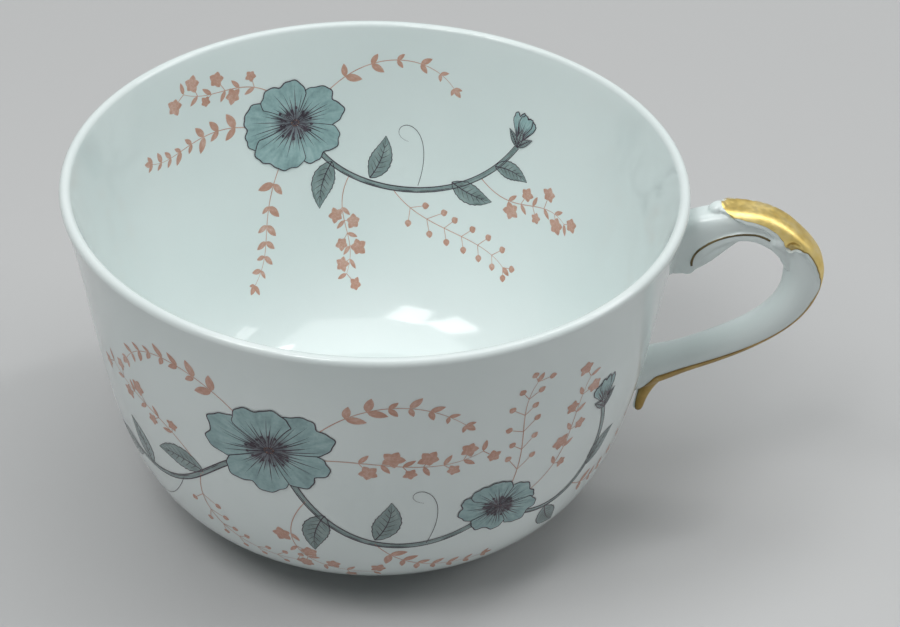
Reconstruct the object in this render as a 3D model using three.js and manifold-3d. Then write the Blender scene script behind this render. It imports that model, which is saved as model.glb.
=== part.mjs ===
// A flat porcelain teacup: a thin flared bowl on a low foot ring, with a cast scroll handle that is
// stuck to its side with liquid clay and picked out in gold.
// Millimetres, +Z up. The cup stands on the plane z = 0 and its handle points along +X.
import * as THREE from "three";
import { mergeVertices } from "three/addons/utils/BufferGeometryUtils.js";
import Module from "manifold-3d";

const wasm = await Module();
wasm.setup();

// Bowl
const rimRadius = 46;
const cupHeight = 55;
const lipThickness = 1.7;
const wallThickness = 2.3;
const floorThickness = 3;
const floorDish = 0.4;
const waistRadius = 40.84;
const waistHeight = 26;

// Outside curve of the bowl: how steeply it leans, and over what height each lean is felt
const lipFlare = 0.305;
const lipPull = 7.9;
const waistFlare = 0.206;
const wallPull = 9.9;
const bellyPull = 11.6;
const baseRise = 0.28;
const basePull = 11.65;

// Foot ring
const footRadius = 23.5;
const footWidth = 2.4;
const footHeight = 1.9;
const footSpread = 1;
const footEdge = 0.4;

// Centre line of the handle, from its upper root over the crown and round the bend to its lower root
const upperRootDrop = 10.6;
const upperRootRise = 0.02;
const neckPull = 4.2;
const crownReach = 7.5;
const crownDrop = 5.3;
const crownPull = 4;
const bendReach = 17.75;
const bendDrop = 15;
const shoulderPull = 5.2;
const heelPull = 8.8;
const lowerRootDrop = 33.5;
const lowerRootRise = 0.38;
const armPull = 13.4;
const rootDepth = 2.6;

// Sections of the handle: thickness in the plane of the loop, width across it, and how square they are
const ovalPower = 2;
const flatSidedPower = 3;
const strapPower = 5;
const upperRootThickness = 9;
const upperRootWidth = 7;
const neckThickness = 8;
const neckWidth = 5.4;
const crownThickness = 3.2;
const crownWidth = 5;
const shoulderThickness = 3.6;
const shoulderWidth = 5.2;
const bendThickness = 6;
const bendWidth = 5.4;
const stemThickness = 5;
const stemWidth = 5.2;
const lowerRootThickness = 6.8;
const lowerRootWidth = 6.6;

// Thumb leaf and the bead at its stalk, raised on top of the handle
const leafRelief = 0.5;
const leafGroove = 0.2;
const leafSpread = THREE.MathUtils.degToRad(76);
const lobeSpread = THREE.MathUtils.degToRad(93);
const leafTipSpread = THREE.MathUtils.degToRad(60);
const beadLength = 1.9;
const beadWidth = 2.4;
const beadHeight = 1.7;
const beadRise = 0.4;

// Scroll strap under the crown, from a rolled end beside the wall to the inside of the shoulder
const scrollRollReach = 2.9;
const scrollRollDrop = 1.6;
const scrollRollRadius = 1.25;
const scrollNeckLead = 4.4;
const scrollNeckRise = 0.8;
const scrollShoulderLead = 6.4;
const scrollShoulderRise = 2.7;
const scrollEndInset = 0.25;
const scrollEndRise = 3.2;
const scrollRootThickness = 2;
const scrollThickness = 1.7;
const scrollShoulderThickness = 2.4;
const scrollEndThickness = 1.4;
const scrollStandout = 0.35;

// Tail that hooks down from the lower root, clear of the wall
const tailLength = 6.9;
const tailTipGap = 3;
const tailReach = 5;
const tailBow = 2.4;
const tailThickness = 4.2;
const tailWidth = 4.4;
const tailTipThickness = 1.6;
const tailTipWidth = 1.8;

// Slip that joins the handle to the wall, and gold film laid on the handle
const jointGap = 0.1;
const slipThickness = 0.5;
const slipSpread = 0.35;
const filmGap = 0.1;
const filmThickness = 0.15;
const spineSpread = THREE.MathUtils.degToRad(56);
const tailGiltSpread = THREE.MathUtils.degToRad(66);
const lineHeight = 0.5;

// Facets
const turnSegments = 64;
const wallSteps = 7;
const bellySteps = 10;
const lipSteps = 5;
const sectionSides = 20;
const legSteps = 13;
const leafSteps = 26;
const stripeSteps = 12;
const acrossSteps = 8;

const porcelain = new THREE.MeshStandardMaterial({ color: 0xf1f3ee, roughness: 0.12, metalness: 0 });
const slip = new THREE.MeshStandardMaterial({ color: 0xe9ece6, roughness: 0.2, metalness: 0 });
const gold = new THREE.MeshStandardMaterial({ color: 0xa9853c, roughness: 0.32, metalness: 1 });

// Bowl outline

const lipRadius = lipThickness / 2;
const lipLean = Math.atan(lipFlare);
const lipCentre = new THREE.Vector2(rimRadius - lipRadius, cupHeight - lipRadius);
const waist = new THREE.Vector2(waistRadius, waistHeight);
const base = new THREE.Vector2(footRadius + footSpread, footHeight);

function lipPoint(angle) {
  return new THREE.Vector2(Math.cos(angle), Math.sin(angle)).multiplyScalar(lipRadius).add(lipCentre);
}

function leaning(from, lean, reach) {
  return new THREE.Vector2(lean, 1).multiplyScalar(reach).add(from);
}

const lipStart = lipPoint(-lipLean);
const wallCurve = new THREE.CubicBezierCurve(
  lipStart,
  leaning(lipStart, lipFlare, -lipPull),
  leaning(waist, waistFlare, wallPull),
  waist,
);
const bellyCurve = new THREE.CubicBezierCurve(
  waist,
  leaning(waist, waistFlare, -bellyPull),
  new THREE.Vector2(1, baseRise).multiplyScalar(basePull).add(base),
  base,
);

// A value that changes smoothly from one size to the next as share runs from 0 to 1
function eased(from, to, share) {
  return THREE.MathUtils.lerp(from, to, THREE.MathUtils.smoothstep(share, 0, 1));
}

// Points along a curve, moved sideways from it by an offset that may change along the way
function shifted(curve, steps, offset) {
  const points = [];
  for (let step = 0; step <= steps; step += 1) {
    const along = step / steps;
    const tangent = curve.getTangent(along);
    const outward = new THREE.Vector2(-tangent.y, tangent.x);
    points.push(curve.getPoint(along).addScaledVector(outward, offset(along)));
  }
  return points;
}

// The outside of the wall from the lip down to the base, grown by an even offset
function outerOutline(offset) {
  const wall = shifted(wallCurve, wallSteps, () => offset);
  const belly = shifted(bellyCurve, bellySteps, () => offset);
  return [...wall, ...belly.slice(1)];
}

// The inside of the wall, which thickens from the lip to the waist and again to the floor
function innerOutline() {
  const inward = (from, to) => (along) => -eased(from, to, along);
  const wall = shifted(wallCurve, wallSteps, inward(lipThickness, wallThickness));
  const belly = shifted(bellyCurve, bellySteps, inward(wallThickness, floorThickness));
  return [...wall, ...belly.slice(1)];
}

function wallRadiusAt(height) {
  const outline = outerOutline(0);
  const below = outline.findIndex((point) => point.y < height);
  const upper = outline[below - 1];
  const lower = outline[below];
  return THREE.MathUtils.mapLinear(height, upper.y, lower.y, upper.x, lower.x);
}

function revolve(outline) {
  const geometry = new THREE.LatheGeometry(outline, turnSegments);
  geometry.rotateX(Math.PI / 2);
  return geometry;
}

function bowlGeometry() {
  const inside = innerOutline();
  const floorHeight = inside.at(-1).y - floorDish;
  const underside = floorHeight - floorThickness;
  const ringInside = footRadius - footWidth;
  const lip = [];
  for (let step = 1; step < lipSteps; step += 1) {
    lip.push(lipPoint(-lipLean + (Math.PI * step) / lipSteps));
  }
  const outline = [
    new THREE.Vector2(0, underside),
    new THREE.Vector2(ringInside - footEdge - footSpread, underside),
    new THREE.Vector2(ringInside - footEdge, footEdge),
    new THREE.Vector2(ringInside, 0),
    new THREE.Vector2(footRadius - footEdge, 0),
    new THREE.Vector2(footRadius, footEdge),
    ...outerOutline(0).reverse(),
    ...lip,
    ...inside,
    new THREE.Vector2(0, floorHeight),
  ];
  return revolve(outline);
}

// A solid block that fills the bowl out to its wall and a little beyond, to trim what joins the wall
function wallBlock(offset) {
  const outline = outerOutline(offset);
  const top = new THREE.Vector2(0, outline[0].y);
  const bottom = new THREE.Vector2(0, outline.at(-1).y);
  return solid(revolve([bottom, ...outline.reverse(), top]));
}

// Solids and booleans

function bare(geometry) {
  const plain = new THREE.BufferGeometry();
  plain.setAttribute("position", geometry.getAttribute("position"));
  plain.setIndex(geometry.getIndex());
  const merged = mergeVertices(plain, 1e-4);
  const corners = merged.getIndex().array;
  const kept = [];
  for (let at = 0; at < corners.length; at += 3) {
    const [a, b, c] = corners.slice(at, at + 3);
    if (a !== b && b !== c && c !== a) {
      kept.push(a, b, c);
    }
  }
  merged.setIndex(kept);
  return merged;
}

function solid(geometry) {
  const closed = bare(geometry);
  const vertProperties = new Float32Array(closed.getAttribute("position").array);
  const triVerts = new Uint32Array(closed.getIndex().array);
  return new wasm.Manifold(new wasm.Mesh({ numProp: 3, vertProperties, triVerts }));
}

function fromSolid(body) {
  const mesh = body.getMesh();
  const geometry = new THREE.BufferGeometry();
  geometry.setAttribute("position", new THREE.BufferAttribute(new Float32Array(mesh.vertProperties), 3));
  geometry.setIndex(Array.from(mesh.triVerts));
  geometry.computeVertexNormals();
  return geometry;
}

// Skins a list of equal rings of points, with a flat cap on the first and the last ring
function loft(rings) {
  const sides = rings[0].length;
  const indices = [];
  for (let ring = 0; ring + 1 < rings.length; ring += 1) {
    for (let side = 0; side < sides; side += 1) {
      const a = ring * sides + side;
      const b = ring * sides + ((side + 1) % sides);
      indices.push(a, a + sides, b, b, a + sides, b + sides);
    }
  }
  const last = (rings.length - 1) * sides;
  for (let side = 1; side + 1 < sides; side += 1) {
    indices.push(0, side, side + 1, last, last + side + 1, last + side);
  }
  const geometry = new THREE.BufferGeometry().setFromPoints(rings.flat());
  geometry.setIndex(indices);
  geometry.computeVertexNormals();
  return geometry;
}

// Strands: a centre line in the XZ plane with an oval section that changes along it

function strand(legs, sizes) {
  const place = (at) => {
    const leg = Math.min(Math.floor(at), legs.length - 1);
    const point = legs[leg].getPoint(at - leg);
    const tangent = legs[leg].getTangent(at - leg);
    return { point, outward: new THREE.Vector2(-tangent.y, tangent.x) };
  };
  const size = (at, key) => {
    const next = Math.max(1, sizes.findIndex((station) => station.at >= at));
    const from = sizes[next - 1];
    const to = sizes[next];
    return eased(from[key], to[key], (at - from.at) / (to.at - from.at));
  };
  const halfThickness = (at) => size(at, "thickness") / 2;
  const halfWidth = (at) => size(at, "width") / 2;
  const power = (at) => size(at, "power");
  return { end: legs.length, place, halfThickness, halfWidth, power };
}

// A point at a given distance outward and across from the centre line
function besideStrand(path, at, outwardBy, across) {
  const { point, outward } = path.place(at);
  const moved = point.clone().addScaledVector(outward, outwardBy);
  return new THREE.Vector3(moved.x, across, moved.y);
}

// A point on the section, lifted off it; angle 0 is the outside of the loop
function onStrand(path, at, angle, lift) {
  const squared = (share) => Math.sign(share) * Math.abs(share) ** (2 / path.power(at));
  const outwardBy = (path.halfThickness(at) + lift) * squared(Math.cos(angle));
  const across = (path.halfWidth(at) + lift) * squared(Math.sin(angle));
  return besideStrand(path, at, outwardBy, across);
}

// A stretch of the strand as a solid, grown by an even amount all round
function strandGeometry(path, from, to, steps, grow) {
  const rings = [];
  for (let step = 0; step <= steps; step += 1) {
    const at = THREE.MathUtils.lerp(from, to, step / steps);
    const ring = [];
    for (let side = 0; side < sectionSides; side += 1) {
      ring.push(onStrand(path, at, (side / sectionSides) * Math.PI * 2, grow));
    }
    rings.push(ring);
  }
  return loft(rings);
}

// A patch that lies on the outside of a strand, between an inner and an outer lift
function patchGeometry(path, from, to, steps, spread, innerLift, outerLift) {
  const rings = [];
  for (let step = 0; step <= steps; step += 1) {
    const at = THREE.MathUtils.lerp(from, to, step / steps);
    const over = [];
    const under = [];
    for (let side = 0; side <= acrossSteps; side += 1) {
      const across = (side / acrossSteps) * 2 - 1;
      const angle = spread(at) * across;
      over.push(onStrand(path, at, angle, outerLift(across)));
      under.push(onStrand(path, at, angle, innerLift(across)));
    }
    rings.push([...over, ...under.reverse()]);
  }
  return loft(rings);
}

// Handle

const upperRoot = new THREE.Vector2(wallRadiusAt(cupHeight - upperRootDrop), cupHeight - upperRootDrop);
const crown = new THREE.Vector2(rimRadius + crownReach, cupHeight - crownDrop);
const bend = new THREE.Vector2(rimRadius + bendReach, cupHeight - bendDrop);
const lowerRoot = new THREE.Vector2(wallRadiusAt(cupHeight - lowerRootDrop), cupHeight - lowerRootDrop);

function fromRoot(root, rise, reach) {
  return new THREE.Vector2(1, rise).multiplyScalar(reach).add(root);
}

// Places along the loop: 0 upper root, 1 crown, 2 bend, 3 lower root
const loop = strand(
  [
    new THREE.CubicBezierCurve(
      fromRoot(upperRoot, upperRootRise, -rootDepth),
      fromRoot(upperRoot, upperRootRise, neckPull),
      new THREE.Vector2(crown.x - crownPull, crown.y),
      crown,
    ),
    new THREE.CubicBezierCurve(
      crown,
      new THREE.Vector2(crown.x + shoulderPull, crown.y),
      new THREE.Vector2(bend.x, bend.y + shoulderPull),
      bend,
    ),
    new THREE.CubicBezierCurve(
      bend,
      new THREE.Vector2(bend.x, bend.y - heelPull),
      fromRoot(lowerRoot, lowerRootRise, armPull),
      fromRoot(lowerRoot, lowerRootRise, -rootDepth),
    ),
  ],
  [
    { at: 0, thickness: upperRootThickness, width: upperRootWidth, power: flatSidedPower },
    { at: 0.4, thickness: neckThickness, width: neckWidth, power: flatSidedPower },
    { at: 1, thickness: crownThickness, width: crownWidth, power: flatSidedPower },
    { at: 1.5, thickness: shoulderThickness, width: shoulderWidth, power: flatSidedPower },
    { at: 2, thickness: bendThickness, width: bendWidth, power: ovalPower },
    { at: 2.5, thickness: stemThickness, width: stemWidth, power: ovalPower },
    { at: 2.75, thickness: stemThickness, width: stemWidth, power: ovalPower },
    { at: 3, thickness: lowerRootThickness, width: lowerRootWidth, power: ovalPower },
  ],
);

const tailTipHeight = lowerRoot.y - tailLength;
const tailTip = new THREE.Vector2(wallRadiusAt(tailTipHeight) + tailTipGap, tailTipHeight);
const tailStart = fromRoot(lowerRoot, lowerRootRise, tailReach);
const tailTurn = new THREE.Vector2(lowerRoot.x + tailBow, lowerRoot.y);
const tail = strand(
  [new THREE.QuadraticBezierCurve(tailStart, tailTurn, tailTip)],
  [
    { at: 0, thickness: tailThickness, width: tailWidth, power: ovalPower },
    { at: 1, thickness: tailTipThickness, width: tailTipWidth, power: ovalPower },
  ],
);

// Where the ornament begins and ends, as places along the loop
const beadPlace = 0.78;
const leafStart = 0.79;
const leafFull = 1.08;
const lobeEnd = 1.57;
const lobeNotch = 1.7;
const leafTip = 2.12;
const spineEnd = loop.end - 0.2;
const tailGiltStart = 0.4;
const tailGiltEnd = 0.9;
const upperSlipEnd = 0.5;
const lowerSlipStart = loop.end - 0.2;
const leastSpread = THREE.MathUtils.degToRad(4);

// The leaf opens from a point, widens over the crown into two side lobes, and ends in a long rounded tip
function leafAngle(at) {
  const opening = THREE.MathUtils.smoothstep(at, leafStart, leafFull);
  const widening = THREE.MathUtils.smoothstep(at, leafFull, lobeEnd);
  const blade = THREE.MathUtils.lerp(leastSpread, leafSpread, opening) + (lobeSpread - leafSpread) * widening;
  const run = THREE.MathUtils.clamp((at - lobeNotch) / (leafTip - lobeNotch), 0, 1);
  const tip = Math.max(leastSpread, leafTipSpread * Math.sqrt(1 - run * run));
  return THREE.MathUtils.lerp(blade, tip, THREE.MathUtils.smoothstep(at, lobeEnd, lobeNotch));
}

// Height of the leaf over the oval: full between midrib and edge, lower along both
function leafLift(across) {
  const midrib = leafGroove * (1 - Math.min(1, Math.abs(across) * 3));
  return leafRelief - midrib;
}

function leafPatch(inner, outer) {
  return patchGeometry(loop, leafStart, leafTip, leafSteps, leafAngle, inner, outer);
}

function beadGeometry(grow) {
  const geometry = new THREE.SphereGeometry(0.5, 12, 8);
  geometry.scale(beadLength + 2 * grow, beadWidth + 2 * grow, beadHeight + 2 * grow);
  const centre = besideStrand(loop, beadPlace, loop.halfThickness(beadPlace) + beadRise, 0);
  geometry.translate(centre.x, centre.y, centre.z);
  return geometry;
}

const crownUnderside = crown.y - crownThickness / 2;
const bendInside = bend.x - bendThickness / 2;
const scrollRoll = new THREE.Vector2(upperRoot.x + scrollRollReach, upperRoot.y - scrollRollDrop);
const scrollRootWidth = neckWidth + 2 * scrollStandout;
const scroll = strand(
  [
    new THREE.CubicBezierCurve(
      scrollRoll,
      new THREE.Vector2(crown.x - scrollNeckLead, crownUnderside + scrollNeckRise),
      new THREE.Vector2(crown.x + scrollShoulderLead, crownUnderside + scrollShoulderRise),
      new THREE.Vector2(bendInside + scrollEndInset, bend.y + scrollEndRise),
    ),
  ],
  [
    { at: 0, thickness: scrollRootThickness, width: scrollRootWidth, power: strapPower },
    { at: 0.5, thickness: scrollThickness, width: crownWidth + 2 * scrollStandout, power: strapPower },
    { at: 0.75, thickness: scrollShoulderThickness, width: shoulderWidth + 2 * scrollStandout, power: strapPower },
    { at: 1, thickness: scrollEndThickness, width: shoulderWidth + 2 * scrollStandout, power: strapPower },
  ],
);

function scrollRollGeometry() {
  const radius = scrollRollRadius;
  const geometry = new THREE.CylinderGeometry(radius, radius, scrollRootWidth, sectionSides);
  const centre = besideStrand(scroll, 0, 0, 0);
  geometry.translate(centre.x, centre.y, centre.z);
  return geometry;
}

const loopSteps = legSteps * loop.end;
const handleTrim = jointGap + slipThickness + jointGap;

function handleGeometry() {
  const body = solid(strandGeometry(loop, 0, loop.end, loopSteps, 0))
    .add(solid(strandGeometry(tail, 0, tail.end, legSteps, 0)))
    .add(solid(leafPatch(() => -leafRelief, leafLift)))
    .add(solid(beadGeometry(0)))
    .add(solid(strandGeometry(scroll, 0, scroll.end, legSteps, 0)))
    .add(solid(scrollRollGeometry()));
  return fromSolid(body.subtract(wallBlock(handleTrim)));
}

// A pad of slip between the wall and one root of the handle, spread a little past the root
function slipGeometry(from, to) {
  const root = solid(strandGeometry(loop, from, to, legSteps, slipSpread));
  const pad = root.intersect(wallBlock(jointGap + slipThickness)).subtract(wallBlock(jointGap));
  return fromSolid(pad);
}

// Gold film

const filmTop = filmGap + filmThickness;

// An even film on the outside of a strand
function filmGeometry(path, from, to, spread) {
  return patchGeometry(path, from, to, stripeSteps, spread, () => filmGap, () => filmTop);
}

// The leaf's gold stops at the bead and at the strap
function leafFilmGeometry() {
  const film = leafPatch((across) => leafLift(across) + filmGap, (across) => leafLift(across) + filmTop);
  const strap = strandGeometry(scroll, 0, scroll.end, legSteps, filmGap);
  return fromSolid(solid(film).subtract(solid(strap)).subtract(solid(beadGeometry(filmGap))));
}

// The spine's gold stops where the tail swells out of the arm
function spineFilmGeometry() {
  const spread = (at) => taperedEnds(at, leafTip, spineEnd) * spineSpread + leastSpread;
  const film = filmGeometry(loop, leafTip, spineEnd, spread);
  const hook = strandGeometry(tail, 0, tail.end, legSteps, filmGap);
  return fromSolid(solid(film).subtract(solid(hook)));
}

// The gold of the tail stops where the tail runs into the arm
function tailFilmGeometry() {
  const film = filmGeometry(tail, tailGiltStart, tailGiltEnd, () => tailGiltSpread);
  const arm = strandGeometry(loop, loop.end - 1, loop.end, legSteps, filmGap);
  return fromSolid(solid(film).subtract(solid(arm)));
}

// Grows from 0 at either end to 1 over the middle of a stretch
function taperedEnds(at, from, to) {
  const share = (at - from) / (to - from);
  return Math.sqrt(Math.max(0, 4 * share * (1 - share)));
}

const lineEnd = scroll.end - 0.25;

// A line of gold along the upper edge of the scroll strap, on its front or its back
function scrollLineGeometry(side) {
  const rings = [];
  for (let step = 0; step <= stripeSteps; step += 1) {
    const at = THREE.MathUtils.lerp(0, lineEnd, step / stripeSteps);
    const high = scroll.halfThickness(at);
    const low = high - lineHeight;
    const near = scroll.halfWidth(at) + filmGap;
    const far = near + filmThickness;
    const corners = [
      besideStrand(scroll, at, high, near * side),
      besideStrand(scroll, at, high, far * side),
      besideStrand(scroll, at, low, far * side),
      besideStrand(scroll, at, low, near * side),
    ];
    rings.push(side > 0 ? corners : corners.reverse());
  }
  return loft(rings);
}

const assembly = new THREE.Group();

function addPiece(name, geometry, material) {
  const mesh = new THREE.Mesh(geometry, material.clone());
  mesh.name = name;
  assembly.add(mesh);
}

addPiece("bowl", bowlGeometry(), porcelain);
addPiece("handle", handleGeometry(), porcelain);
addPiece("upper_luting_slip", slipGeometry(0, upperSlipEnd), slip);
addPiece("lower_luting_slip", slipGeometry(lowerSlipStart, loop.end), slip);
addPiece("thumb_leaf_gilding", leafFilmGeometry(), gold);
addPiece("spine_gilding", spineFilmGeometry(), gold);
addPiece("tail_gilding", tailFilmGeometry(), gold);
addPiece("scroll_line_gilding_front", scrollLineGeometry(-1), gold);
addPiece("scroll_line_gilding_back", scrollLineGeometry(1), gold);

// The origin lies under the middle of the whole cup, handle included
const middle = new THREE.Box3().setFromObject(assembly).getCenter(new THREE.Vector3());
assembly.position.x = -middle.x;

const cup = new THREE.Group();
cup.add(assembly);

export default cup;
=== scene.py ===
import math
import random

import bmesh
import bpy
from mathutils import Matrix, Vector


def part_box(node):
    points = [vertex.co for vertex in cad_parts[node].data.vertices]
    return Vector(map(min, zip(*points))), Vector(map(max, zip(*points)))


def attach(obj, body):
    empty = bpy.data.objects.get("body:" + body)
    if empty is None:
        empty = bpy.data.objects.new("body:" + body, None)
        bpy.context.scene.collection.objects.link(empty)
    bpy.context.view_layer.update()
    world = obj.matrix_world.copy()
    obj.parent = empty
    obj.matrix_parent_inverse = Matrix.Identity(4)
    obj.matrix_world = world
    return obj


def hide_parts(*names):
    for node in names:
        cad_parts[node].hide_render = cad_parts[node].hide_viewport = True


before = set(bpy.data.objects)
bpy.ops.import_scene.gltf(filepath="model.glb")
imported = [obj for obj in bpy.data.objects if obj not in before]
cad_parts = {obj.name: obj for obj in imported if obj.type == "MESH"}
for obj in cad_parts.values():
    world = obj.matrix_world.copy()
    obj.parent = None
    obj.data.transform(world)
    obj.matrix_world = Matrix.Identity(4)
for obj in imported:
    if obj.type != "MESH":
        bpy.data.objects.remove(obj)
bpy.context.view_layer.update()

MM = 0.001

# Bowl sizes; a pull is how far a curve keeps to the direction of its end
bowl_low, bowl_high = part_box("bowl")
axis_x = (bowl_low.x + bowl_high.x) / 2
rim_radius = (bowl_high.x - bowl_low.x) / 2
cup_height = bowl_high.z
lip_thickness = 1.7 * MM
wall_thickness = 2.3 * MM
floor_thickness = 3 * MM
floor_dish = 0.4 * MM
waist = Vector((40.84 * MM, 26 * MM))
lip_flare = 0.305
lip_pull = 7.9 * MM
waist_flare = 0.206
wall_pull = 9.9 * MM
belly_pull = 11.6 * MM
base_rise = 0.28
base_pull = 11.65 * MM

# Foot ring sizes
foot_radius = 23.5 * MM
foot_width = 2.4 * MM
foot_height = 1.9 * MM
foot_spread = 1 * MM
foot_edge = 0.4 * MM
foot_rounding = 0.3 * MM

# Handle sizes
root_depth = 2.6 * MM
upper_root_height = cup_height - 10.6 * MM
upper_root_rise = 0.02
upper_root_pull = 4.2 * MM
lower_root_height = cup_height - 33.5 * MM
lower_root_rise = 0.38
lower_root_pull = 13.4 * MM
crown = Vector((rim_radius + 7.54 * MM, cup_height - 5.3 * MM))
crown_thickness = 3.2 * MM
bend = Vector((rim_radius + 17.79 * MM, cup_height - 15 * MM))
bend_thickness = 6 * MM
tail_start = 5 * MM
tail_drop = 6.9 * MM
tail_gap = 3 * MM
tail_tip_reach = 0.8 * MM
strap_standout = 0.35 * MM
roll_radius = 1.3 * MM
roll_rounding = 0.3 * MM
roll_offset = Vector((-0.5 * MM, 0, -0.3 * MM))
bead_sizes = 2.7 * MM, 2.6 * MM, 1.7 * MM
bead_lift = 0.25 * MM
bead_tilt = math.radians(-25)
curl_sizes = 2.4 * MM, 1.3 * MM, 1.7 * MM
curl_lift = 0.75 * MM
curl_inset = 0.2 * MM
curl_tilt = math.radians(30)
leaf_relief = 0.5 * MM
leaf_margin = math.radians(7)
leaf_groove = 0.15 * MM
cast_voxel = 0.14 * MM
cast_rounds = 8
carving_rounds = 5

# Gold and joint sizes
film_lift = 0.045 * MM
film_thickness = 0.015 * MM
film_start_lift = 0.8 * MM
film_drop_limit = 2 * MM
film_rounds = 6
line_half_width = 0.19 * MM
joint_sink = 0.6 * MM
joint_fillet = 0.9 * MM

# Corners closer than this are one
same_corner = 0.0001 * MM


# Curves in the plane of a section

def in_mm(x, y):
    """A flat place or step, given in millimetres"""
    return Vector((x * MM, y * MM))


def in_cup(point, across=0):
    """A point of a section as a place in the cup, in or beside the plane through its axis and its handle"""
    return Vector((axis_x + point.x, across, point.y))


def along_curve(points, share):
    """The point and the heading at a share of a curve pulled by two end points and the handles between"""
    points = [Vector(point) for point in points]
    while len(points) > 2:
        points = [start.lerp(end, share) for start, end in zip(points, points[1:])]
    heading = (points[1] - points[0]).normalized()
    return points[0].lerp(points[1], share), heading


def turned_left(heading):
    return Vector((-heading.y, heading.x))


def eased(start, end, share):
    share = min(1, max(0, share))
    return start + (end - start) * share * share * (3 - 2 * share)


def from_stations(stations, at, key):
    """A value that eases from one station to the next; each station is a place with its values"""
    for here, there in zip(stations, stations[1:]):
        if at <= there[0]:
            break
    return eased(here[key], there[key], (at - here[0]) / (there[0] - here[0]))


# Outline of the bowl

lip_radius = lip_thickness / 2
lip_lean = math.atan(lip_flare)
lip_centre = Vector((rim_radius - lip_radius, cup_height - lip_radius))
foot_top = Vector((foot_radius + foot_spread, foot_height))


def lip_point(angle):
    return lip_centre + lip_radius * Vector((math.cos(angle), math.sin(angle)))


lip_start = lip_point(-lip_lean)
wall_curve = (
    lip_start,
    lip_start - lip_pull * Vector((lip_flare, 1)),
    waist + wall_pull * Vector((waist_flare, 1)),
    waist,
)
belly_curve = (
    waist,
    waist - belly_pull * Vector((waist_flare, 1)),
    foot_top + base_pull * Vector((1, base_rise)),
    foot_top,
)
outside_offsets = (0, 0), (0, 0)
inside_offsets = (-lip_thickness, -wall_thickness), (-wall_thickness, -floor_thickness)


def wall_outline(steps, wall_offset, belly_offset):
    """Points from the lip down to the foot, each moved off the outside curve by an eased pair of offsets"""
    outline = []
    for curve, offsets in ((wall_curve, wall_offset), (belly_curve, belly_offset)):
        for step in range(steps + 1):
            point, heading = along_curve(curve, step / steps)
            outline.append(point + turned_left(heading) * eased(*offsets, step / steps))
    del outline[steps]
    return outline


fine_steps = 200
outside = wall_outline(fine_steps, *outside_offsets)
inside = wall_outline(fine_steps, *inside_offsets)
floor_height = inside[-1].y - floor_dish
underside = floor_height - floor_thickness


def outside_radius(height):
    for upper, lower in zip(outside, outside[1:]):
        if lower.y <= height:
            break
    return lower.x + (upper.x - lower.x) * (height - lower.y) / (upper.y - lower.y)


# Hand work on meshes

def clear_selection():
    if bpy.context.mode != "OBJECT":
        bpy.ops.object.mode_set(mode="OBJECT")
    bpy.ops.object.select_all(action="DESELECT")


def take(piece):
    clear_selection()
    piece.select_set(True)
    bpy.context.view_layer.objects.active = piece


def edit_all(piece):
    """Opens a piece for editing, all of it selected"""
    take(piece)
    bpy.ops.object.mode_set(mode="EDIT")
    bpy.ops.mesh.select_all(action="SELECT")


def end_edit():
    bpy.ops.object.mode_set(mode="OBJECT")


def named(name):
    piece = bpy.context.object
    piece.name = name
    piece.data.name = name
    return piece


def apply_modifier(piece, kind, **settings):
    take(piece)
    modifier = piece.modifiers.new(kind.lower(), kind)
    for key, value in settings.items():
        setattr(modifier, key, value)
    bpy.ops.object.modifier_apply(modifier=modifier.name)


def apply_place(piece):
    take(piece)
    bpy.ops.object.transform_apply(location=True, rotation=True, scale=True)


def make_outward(piece, merge=same_corner):
    edit_all(piece)
    bpy.ops.mesh.remove_doubles(threshold=merge)
    bpy.ops.mesh.normals_make_consistent(inside=False)
    end_edit()


def join(pieces, name):
    clear_selection()
    for piece in pieces:
        piece.select_set(True)
    bpy.context.view_layer.objects.active = pieces[0]
    bpy.ops.object.join()
    return named(name)


def set_ring(old, new):
    """Moves the selected ring of corners from its old places to its new ones"""
    mesh = bpy.context.object.data
    shape = bmesh.from_edit_mesh(mesh)
    for corner in [corner for corner in shape.verts if corner.select]:
        nearest = min(range(len(old)), key=lambda at: (corner.co - old[at]).length_squared)
        corner.co = new[nearest]
    bmesh.update_edit_mesh(mesh)


def grow_rings(name, rings, fill="NGON"):
    """A skin over rings of equal count: a flat round, extruded from each ring to the next"""
    clear_selection()
    bpy.ops.mesh.primitive_circle_add(vertices=len(rings[0]), radius=MM, fill_type=fill)
    piece = named(name)
    start = [corner.co.copy() for corner in piece.data.vertices]
    edit_all(piece)
    set_ring(start, rings[0])
    for old, new in zip(rings, rings[1:]):
        bpy.ops.mesh.extrude_region_move()
        set_ring(old, new)
    end_edit()
    make_outward(piece)
    return piece


def grid_blank(name, across, along):
    """A flat grid from -1 to 1 both ways, to be laid onto a surface"""
    clear_selection()
    bpy.ops.mesh.primitive_grid_add(x_subdivisions=across, y_subdivisions=along, size=2)
    return named(name)


# Materials

def put(tree, value, socket):
    """Sets a socket to a value, or links it from another node's output"""
    if isinstance(value, bpy.types.NodeSocket):
        tree.links.new(value, socket)
    else:
        socket.default_value = value


def add_node(tree, kind, inputs=None, **settings):
    made = tree.nodes.new("ShaderNode" + kind)
    for key, value in settings.items():
        setattr(made, key, value)
    for key, value in (inputs or {}).items():
        put(tree, value, made.inputs[key])
    return made


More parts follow.
